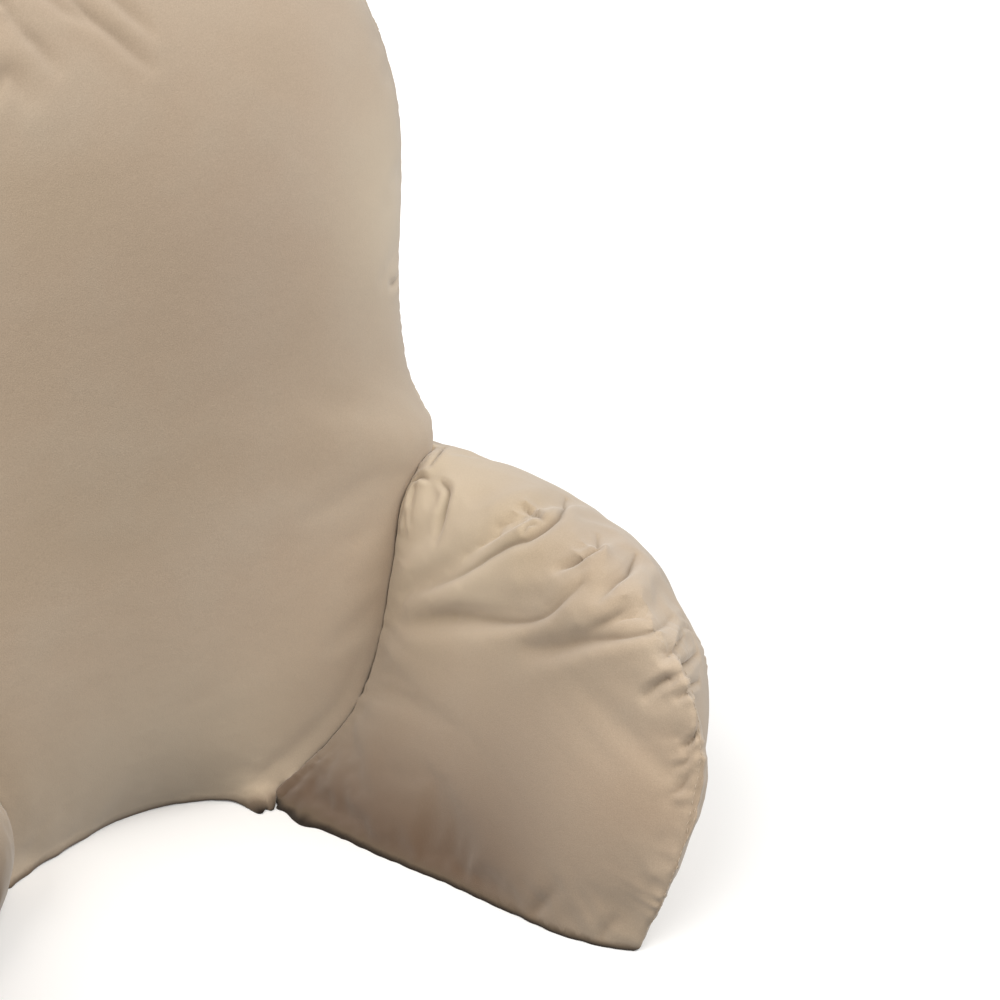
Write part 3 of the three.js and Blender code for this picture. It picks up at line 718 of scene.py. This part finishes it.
def velour_group():
    """Node group: colour variation, painted shade and painted light, and surface normal of short-pile velour.
    """
    group = bpy.data.node_groups.get("velour pile")
    if group:
        return group
    group = bpy.data.node_groups.new("velour pile", "ShaderNodeTree")
    face = group.interface
    for name, kind, value in (
        ("Cloth", "NodeSocketColor", (0.5, 0.4, 0.3, 1)),
        ("Shade", "NodeSocketColor", (0.3, 0.25, 0.2, 1)),
        ("Up", "NodeSocketColor", (0.74, 0.62, 0.46, 1)),
        ("Down", "NodeSocketColor", (0.13, 0.082, 0.052, 1)),
        ("Hollow", "NodeSocketFloat", 0.0),
        ("Brushed", "NodeSocketFloat", 0.0),
        ("Nap size", "NodeSocketFloat", 14.0),
        ("Pile size", "NodeSocketFloat", 1500.0),
    ):
        socket = face.new_socket(name=name, in_out="INPUT", socket_type=kind)
        socket.default_value = value
    face.new_socket(name="Color", in_out="OUTPUT", socket_type="NodeSocketColor")
    face.new_socket(name="Normal", in_out="OUTPUT", socket_type="NodeSocketVector")
    nodes = group.nodes
    enter = nodes.new("NodeGroupInput")
    leave = nodes.new("NodeGroupOutput")
    place = nodes.new("ShaderNodeTexCoord")

    def noise(scale, detail_level, roughness):
        node = nodes.new("ShaderNodeTexNoise")
        node.inputs["Scale"].default_value = scale
        node.inputs["Detail"].default_value = detail_level
        node.inputs["Roughness"].default_value = roughness
        group.links.new(place.outputs["Object"], node.inputs["Vector"])
        return node

    def ranged(source, low, high, to_low, to_high):
        node = nodes.new("ShaderNodeMapRange")
        node.inputs["From Min"].default_value = low
        node.inputs["From Max"].default_value = high
        node.inputs["To Min"].default_value = to_low
        node.inputs["To Max"].default_value = to_high
        group.links.new(source, node.inputs["Value"])
        return node.outputs["Result"]

    def mixed(factor, a, b, blend="MIX"):
        node = nodes.new("ShaderNodeMix")
        node.data_type = "RGBA"
        node.blend_type = blend
        for socket, value in ((node.inputs[0], factor), (node.inputs[6], a), (node.inputs[7], b)):
            if isinstance(value, bpy.types.NodeSocket):
                group.links.new(value, socket)
            else:
                socket.default_value = value
        return node.outputs[2]

    broad = noise(7.0, 2.0, 0.5)
    nap = noise(14.0, 4.0, 0.55)
    pile = noise(1500.0, 2.0, 0.6)
    group.links.new(enter.outputs["Nap size"], nap.inputs["Scale"])
    group.links.new(enter.outputs["Pile size"], pile.inputs["Scale"])
    cloth, shade = enter.outputs["Cloth"], enter.outputs["Shade"]
    brushed, hollow = enter.outputs["Brushed"], enter.outputs["Hollow"]
    warm = mixed(ranged(broad.outputs["Fac"], 0.35, 0.65, 0, 0.55), cloth, (0.53, 0.40, 0.30, 1))
    cool = mixed(ranged(nap.outputs["Fac"], 0.42, 0.68, 0, 0.28), warm, (0.50, 0.44, 0.34, 1))
    speck = mixed(ranged(pile.outputs["Fac"], 0.3, 0.7, 0.0, 0.22), cool, shade)
    # Painted light as a paler tone and painted shade as a deeper tone, from the table and beside the seams.
    painted_lit = mixed(ranged(brushed, 0, -1, 0, 1), speck, enter.outputs["Up"])
    painted_dark = mixed(ranged(brushed, 0, 1, 0, 1), painted_lit, enter.outputs["Down"])
    # Painted shade in creases, seams, small folds and along the foot, down to near black where it is deepest.
    deep = mixed(ranged(hollow, 0, 1, 0, 0.9), painted_dark, shade)
    deepest = mixed(ranged(hollow, 1, 2, 0, 1), deep, (0.02, 0.014, 0.01, 1))
    group.links.new(deepest, leave.inputs["Color"])
    soft = nodes.new("ShaderNodeBump")
    soft.inputs["Strength"].default_value = 0.35
    soft.inputs["Distance"].default_value = 0.004
    fine = nodes.new("ShaderNodeBump")
    fine.inputs["Strength"].default_value = 0.28
    fine.inputs["Distance"].default_value = 0.0005
    link_chain(group, (
        (nap.outputs["Fac"], soft.inputs["Height"]),
        (pile.outputs["Fac"], fine.inputs["Height"]),
        (soft.outputs["Normal"], fine.inputs["Normal"]),
        (fine.outputs["Normal"], leave.inputs["Normal"]),
    ))
    return group


def velour(name, cloth, shade):
    """A velour material: matt, with a painted sheen that makes it paler where it is seen along the pile."""
    material = bpy.data.materials.new(name)
    material.use_nodes = True
    tree = material.node_tree
    surface = tree.nodes["Principled BSDF"]
    surface.inputs["Roughness"].default_value = 0.92
    surface.inputs["Specular IOR Level"].default_value = 0.15
    surface.inputs["Sheen Weight"].default_value = SHEEN
    surface.inputs["Sheen Roughness"].default_value = 0.45
    surface.inputs["Sheen Tint"].default_value = (0.93, 0.88, 0.82, 1)
    pile = tree.nodes.new("ShaderNodeGroup")
    pile.node_tree = velour_group()
    pile.inputs["Cloth"].default_value = cloth
    pile.inputs["Shade"].default_value = shade
    hollow = tree.nodes.new("ShaderNodeAttribute")
    hollow.attribute_name = "hollow"
    brushed = tree.nodes.new("ShaderNodeAttribute")
    brushed.attribute_name = "brushed"
    # Painted sheen: the base colour turns paler at grazing angles, less of it where shade is painted.
    edge = tree.nodes.new("ShaderNodeLayerWeight")
    edge.inputs["Blend"].default_value = 0.32
    painted_light = tree.nodes.new("ShaderNodeMix")
    painted_light.data_type = "RGBA"
    painted_light.inputs[7].default_value = (0.62, 0.55, 0.48, 1)
    share = tree.nodes.new("ShaderNodeMath")
    share.operation = "MULTIPLY"
    open_part = tree.nodes.new("ShaderNodeMapRange")
    open_part.inputs["To Min"].default_value = 0.55
    open_part.inputs["To Max"].default_value = 0.0
    link_chain(tree, (
        (hollow.outputs["Fac"], pile.inputs["Hollow"]),
        (brushed.outputs["Fac"], pile.inputs["Brushed"]),
        (hollow.outputs["Fac"], open_part.inputs["Value"]),
        (edge.outputs["Facing"], share.inputs[0]),
        (open_part.outputs["Result"], share.inputs[1]),
        (share.outputs[0], painted_light.inputs[0]),
        (pile.outputs["Color"], painted_light.inputs[6]),
        (painted_light.outputs[2], surface.inputs["Base Color"]),
        (pile.outputs["Normal"], surface.inputs["Normal"]),
    ))
    return material


def thread_material():
    """Twisted sewing thread in the colour of the cloth."""
    material = bpy.data.materials.new("sewing_thread")
    material.use_nodes = True
    tree = material.node_tree
    surface = tree.nodes["Principled BSDF"]
    surface.inputs["Roughness"].default_value = 0.55
    place = tree.nodes.new("ShaderNodeTexCoord")
    twist = tree.nodes.new("ShaderNodeTexNoise")
    twist.inputs["Scale"].default_value = 2200
    tone = tree.nodes.new("ShaderNodeValToRGB")
    tone.color_ramp.elements[0].color = (0.46, 0.37, 0.27, 1)
    tone.color_ramp.elements[1].color = (0.60, 0.49, 0.36, 1)
    bump = tree.nodes.new("ShaderNodeBump")
    bump.inputs["Distance"].default_value = 0.0002
    link_chain(tree, (
        (place.outputs["Object"], twist.inputs["Vector"]),
        (twist.outputs["Fac"], tone.inputs["Fac"]),
        (tone.outputs["Color"], surface.inputs["Base Color"]),
        (twist.outputs["Fac"], bump.inputs["Height"]),
        (bump.outputs["Normal"], surface.inputs["Normal"]),
    ))
    return material


# Operators.


def finished(obj, node):
    """Attaches a finished cushion to the frame's root body and hides the solid it replaces."""
    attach(obj, "root")
    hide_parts(node)


class PILLOW_OT_back_cushion(bpy.types.Operator):
    """Back cushion: crowned front panel, gusset, rear panel and flat base"""

    bl_idname = "pillow.back_cushion"
    bl_label = "Back cushion"

    def execute(self, context):
        """Makes the piece."""
        settings = context.scene.pillow_cushions
        obj = cloth_over("back_cushion", "backrest_cushion", settings.back_voxel, 5)
        front, rear = back_seams()
        arms = [tree_of(frame["nodes"][n]) for n in ("arm_right", "arm_left")]
        fill(obj, [*front, *rear], arms, settings.back_slack, settings)
        subdivided(obj)
        start, end = sharp_lines("back_cushion", math.radians(BACK_SHARP_ANGLE))
        base = (start[:, 2] < 1) & (end[:, 2] < 1)
        drawn_to(obj, (start[base], end[base]))
        puffed(obj)
        # In each seam, dark is the shade painted in the seam line and the last value is the light painted
        # beside it.
        seams = [
            {"line": line, "depth": 0.1, "lip": 1.1, "width": 1.3, "gather": 0.3, "wave": 13.0, "reach": 9.0,
             "seed": 1.0 + i, "dark": 0.25, "painted_light": 1.0}
            for i, line in enumerate(front)
        ] + [
            {"line": line, "depth": 1.4, "lip": 0.4, "width": 2.2, "gather": 0.8, "wave": 15.0, "reach": 16.0,
             "seed": 4.0 + i, "dark": 0.5, "painted_light": 0.0}
            for i, line in enumerate(rear)
        ]
        detail(obj, crease_lines(obj, BACK_CREASES), seams, BACK_FOOT_SHADE)
        # Cloth colour, and the shade colour used for the pile's specks and for the painted shade.
        material = velour("back_velour", (0.48, 0.372, 0.265, 1), (0.16, 0.115, 0.08, 1))
        obj.data.materials.append(material)
        finished(obj, "back_cushion")
        return {"FINISHED"}


class PILLOW_OT_arms(bpy.types.Operator):
    """Arms: two padded arms sewn to the sides of the back cushion"""

    bl_idname = "pillow.arms"
    bl_label = "Arms"

    def execute(self, context):
        """Makes both arms."""
        settings = context.scene.pillow_cushions
        # Cloth colour, and the shade colour used for the pile's specks and for the painted shade.
        material = velour("arm_velour", (0.49, 0.388, 0.27, 1), (0.15, 0.11, 0.075, 1))
        front, _ = back_seams()
        back = tree_of(frame["nodes"]["back_cushion"])
        for node, name, mirror in (("arm_right", "right_arm", 1), ("arm_left", "left_arm", -1)):
            obj = cloth_over(node, name, settings.arm_voxel, 3)
            tip = tip_line(mirror)
            root = front[0] if mirror > 0 else front[1]
            fill(obj, [tip], [back], settings.arm_slack, settings)
            subdivided(obj)
            drawn_to(obj, sharp_lines(node, math.radians(ARM_SHARP_ANGLE)))
            puffed(obj)
            # In each seam, dark is the shade painted in the seam line and the last value is the light painted
            # beside it.
            seams = [
                {"line": on_surface(tip, tree_of(obj)), "depth": 0.8, "lip": 0.3, "width": 1.5,
                 "gather": 0.7 if mirror > 0 else 0.35, "wave": 12.0, "reach": 11.0,
                 "seed": 2.0 + mirror, "dark": 0.2, "painted_light": 0.0},
                {"line": root[root[:, 2] < ROOT_TOP], "depth": -1.1, "lip": 0.0, "width": 3.0, "gather": 0.6,
                 "wave": 17.0, "reach": 13.0, "seed": 5.0 + mirror, "dark": 0.15, "painted_light": 1.0},
            ]
            detail(obj, crease_lines(obj, ARM_CREASES, mirror), seams, ARM_FOOT_SHADE)
            kept_apart(obj, bpy.data.objects["backrest_cushion"])
            obj.data.materials.append(material)
            finished(obj, node)
        return {"FINISHED"}


def stitch_nodes():
    """Geometry nodes: short stitches of thread along a line."""
    group = bpy.data.node_groups.new("stitches along a line", "GeometryNodeTree")
    group.interface.new_socket(name="Line", in_out="INPUT", socket_type="NodeSocketGeometry")
    for name in ("Spacing", "Length", "Radius"):
        group.interface.new_socket(name=name, in_out="INPUT", socket_type="NodeSocketFloat")
    group.interface.new_socket(name="Thread", in_out="INPUT", socket_type="NodeSocketMaterial")
    group.interface.new_socket(name="Stitches", in_out="OUTPUT", socket_type="NodeSocketGeometry")
    nodes = group.nodes
    enter, leave = nodes.new("NodeGroupInput"), nodes.new("NodeGroupOutput")
    even = nodes.new("GeometryNodeResampleCurve")
    even.mode = "LENGTH"
    tangent = nodes.new("GeometryNodeInputTangent")
    turn = nodes.new("FunctionNodeAlignEulerToVector")
    turn.axis = "Z"
    stitch = nodes.new("GeometryNodeMeshUVSphere")
    stitch.inputs["Segments"].default_value = 6
    stitch.inputs["Rings"].default_value = 6
    stitch.inputs["Radius"].default_value = 1.0
    size = nodes.new("ShaderNodeCombineXYZ")
    half = nodes.new("ShaderNodeMath")
    half.operation = "MULTIPLY"
    half.inputs[1].default_value = 0.5
    put = nodes.new("GeometryNodeInstanceOnPoints")
    real = nodes.new("GeometryNodeRealizeInstances")
    paint = nodes.new("GeometryNodeSetMaterial")
    link_chain(group, (
        (enter.outputs["Line"], even.inputs["Curve"]),
        (enter.outputs["Spacing"], even.inputs["Length"]),
        (even.outputs["Curve"], put.inputs["Points"]),
        (stitch.outputs["Mesh"], put.inputs["Instance"]),
        (tangent.outputs["Tangent"], turn.inputs["Vector"]),
        (turn.outputs["Rotation"], put.inputs["Rotation"]),
        (enter.outputs["Length"], half.inputs[0]),
        (enter.outputs["Radius"], size.inputs["X"]),
        (enter.outputs["Radius"], size.inputs["Y"]),
        (half.outputs[0], size.inputs["Z"]),
        (size.outputs["Vector"], put.inputs["Scale"]),
        (put.outputs["Instances"], real.inputs["Geometry"]),
        (real.outputs["Geometry"], paint.inputs["Geometry"]),
        (enter.outputs["Thread"], paint.inputs["Material"]),
        (paint.outputs["Geometry"], leave.inputs["Stitches"]),
    ))
    return group


class PILLOW_OT_stitches(bpy.types.Operator):
    """Stitches: the thread that shows in the seams"""

    bl_idname = "pillow.stitches"
    bl_label = "Stitches"

    def execute(self, context):
        """Lays the stitches along each seam, in the cloth's surface."""
        settings = context.scene.pillow_seams
        front, rear = back_seams()
        back = tree_of(bpy.data.objects["backrest_cushion"])
        arms = {1: tree_of(bpy.data.objects["right_arm"]), -1: tree_of(bpy.data.objects["left_arm"])}
        lines = [on_surface(line[line[:, 2] > THREAD_FOOT], back) for line in (*front, *rear)]
        for side in (1, -1):
            tip = tip_line(side)
            lines.append(on_surface(tip[tip[:, 2] > THREAD_FOOT], arms[side]))
        curve = bpy.data.curves.new("seam_thread_line", "CURVE")
        curve.dimensions = "3D"
        for line in lines:
            spline = curve.splines.new("POLY")
            spline.points.add(len(line) - 1)
            spline.points.foreach_set("co", np.c_[line * MM, np.ones(len(line))].ravel())
        guide = bpy.data.objects.new("seam_thread_line", curve)
        context.scene.collection.objects.link(guide)
        group = stitch_nodes()
        modifier = guide.modifiers.new("Stitches", "NODES")
        modifier.node_group = group
        given = {"Spacing": settings.stitch_spacing, "Length": settings.stitch_length,
                 "Radius": settings.thread_radius, "Thread": thread_material()}
        for item in group.interface.items_tree:
            if item.in_out == "INPUT" and item.name in given:
                modifier[item.identifier] = given[item.name]
        mesh = evaluated_copy(guide, "seam_thread")
        bpy.data.objects.remove(guide)
        thread = bpy.data.objects.new("seam_thread", mesh)
        context.scene.collection.objects.link(thread)
        if not mesh.polygons:
            raise RuntimeError("the seams got no stitches")
        mesh.shade_smooth()
        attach(thread, "root")
        return {"FINISHED"}


class PILLOW_OT_stage(bpy.types.Operator):
    """Stage: pale floor, soft light and the camera"""

    bl_idname = "pillow.stage"
    bl_label = "Stage"

    def execute(self, context):
        """Makes the floor, the light and the camera."""
        scene = context.scene
        settings = scene.pillow_stage
        mesh = bpy.data.meshes.new("floor")
        shape = bmesh.new()
        bmesh.ops.create_grid(shape, x_segments=1, y_segments=1, size=14)
        shape.to_mesh(mesh)
        shape.free()
        floor = bpy.data.objects.new("floor", mesh)
        floor.location.z = -0.0002
        scene.collection.objects.link(floor)
        paper = bpy.data.materials.new("studio_paper")
        paper.use_nodes = True
        tree = paper.node_tree
        surface = tree.nodes["Principled BSDF"]
        surface.inputs["Roughness"].default_value = 0.9
        surface.inputs["Specular IOR Level"].default_value = 0.0
        path = tree.nodes.new("ShaderNodeLightPath")
        tone = tree.nodes.new("ShaderNodeMix")
        tone.data_type = "RGBA"
        tone.inputs[6].default_value = (0.15, 0.15, 0.15, 1)
        tone.inputs[7].default_value = (0.97, 0.97, 0.97, 1)
        link_chain(tree, (
            (path.outputs["Is Camera Ray"], tone.inputs[0]),
            (tone.outputs[2], surface.inputs["Base Color"]),
        ))
        mesh.materials.append(paper)
        world = bpy.data.worlds.new("studio")
        world.use_nodes = True
        sky = world.node_tree.nodes["Background"]
        sky.inputs["Color"].default_value = (1.0, 0.995, 0.985, 1)
        seen = world.node_tree.nodes.new("ShaderNodeLightPath")
        level = world.node_tree.nodes.new("ShaderNodeMapRange")
        level.inputs["To Min"].default_value = settings.sky
        level.inputs["To Max"].default_value = 1.0
        link_chain(world.node_tree, (
            (seen.outputs["Is Camera Ray"], level.inputs["Value"]),
            (level.outputs["Result"], sky.inputs["Strength"]),
        ))
        scene.world = world
        for name, energy, angle, way in (
            ("key", settings.key, 50, (-0.35, 0.55, -0.76)),
            ("fill", settings.fill, 60, (0.75, 0.05, -0.65)),
        ):
            sun = bpy.data.lights.new(name, "SUN")
            sun.energy = energy
            sun.angle = math.radians(angle)
            sun.color = (1.0, 0.99, 0.97)
            lamp = bpy.data.objects.new(name, sun)
            lamp.rotation_euler = Vector(way).to_track_quat("-Z", "Y").to_euler()
            scene.collection.objects.link(lamp)
        lens = bpy.data.cameras.new("camera")
        lens.sensor_width = 36
        lens.lens = settings.lens
        lens.clip_start, lens.clip_end = 0.05, 60
        camera = bpy.data.objects.new("camera", lens)
        azimuth, elevation = math.radians(CAMERA_TURN), math.radians(CAMERA_RISE)
        back = Vector((math.sin(azimuth) * math.cos(elevation), -math.cos(azimuth) * math.cos(elevation),
                       math.sin(elevation)))
        right = Vector((math.cos(azimuth), math.sin(azimuth), 0))
        target = right * CAMERA_ACROSS + back.cross(right) * CAMERA_UP + Vector((0, DEPTH_SHIFT * MM, 0))
        camera.location = target + back * CAMERA_DISTANCE
        camera.rotation_euler = (-back).to_track_quat("-Z", "Y").to_euler()
        scene.collection.objects.link(camera)
        scene.camera = camera
        scene.view_settings.view_transform = "Standard"
        return {"FINISHED"}


class PILLOW_PT_pieces(bpy.types.Panel):
    """The pieces in the order in which they are made"""

    bl_label = "Backrest pillow"
    bl_idname = "PILLOW_PT_pieces"
    bl_space_type = "VIEW_3D"
    bl_region_type = "UI"
    bl_category = "Pillow"

    def draw(self, context):
        """Lists the operators."""
        for operator in OPERATORS:
            self.layout.operator(operator.bl_idname)


OPERATORS = (PILLOW_OT_back_cushion, PILLOW_OT_arms, PILLOW_OT_stitches, PILLOW_OT_stage)
CLASSES = (CushionSettings, SeamSettings, StageSettings, *OPERATORS, PILLOW_PT_pieces)


def register():
    """Registers the settings, the operators and the panel."""
    for item in CLASSES:
        bpy.utils.register_class(item)
    bpy.types.Scene.pillow_cushions = bpy.props.PointerProperty(type=CushionSettings)
    bpy.types.Scene.pillow_seams = bpy.props.PointerProperty(type=SeamSettings)
    bpy.types.Scene.pillow_stage = bpy.props.PointerProperty(type=StageSettings)


def unregister():
    """Takes them away again."""
    del bpy.types.Scene.pillow_cushions
    del bpy.types.Scene.pillow_seams
    del bpy.types.Scene.pillow_stage
    for item in reversed(CLASSES):
        bpy.utils.unregister_class(item)


def main():
    """Builds the pieces."""
    for obj in list(bpy.context.scene.objects):
        if obj.type in {"CAMERA", "LIGHT"} or obj.name == "Cube":
            bpy.data.objects.remove(obj)
    register()
    for operator in OPERATORS:
        area, name = operator.bl_idname.split(".")
        getattr(getattr(bpy.ops, area), name)()
    bpy.context.view_layer.update()


if __name__ == "__main__":
    main()
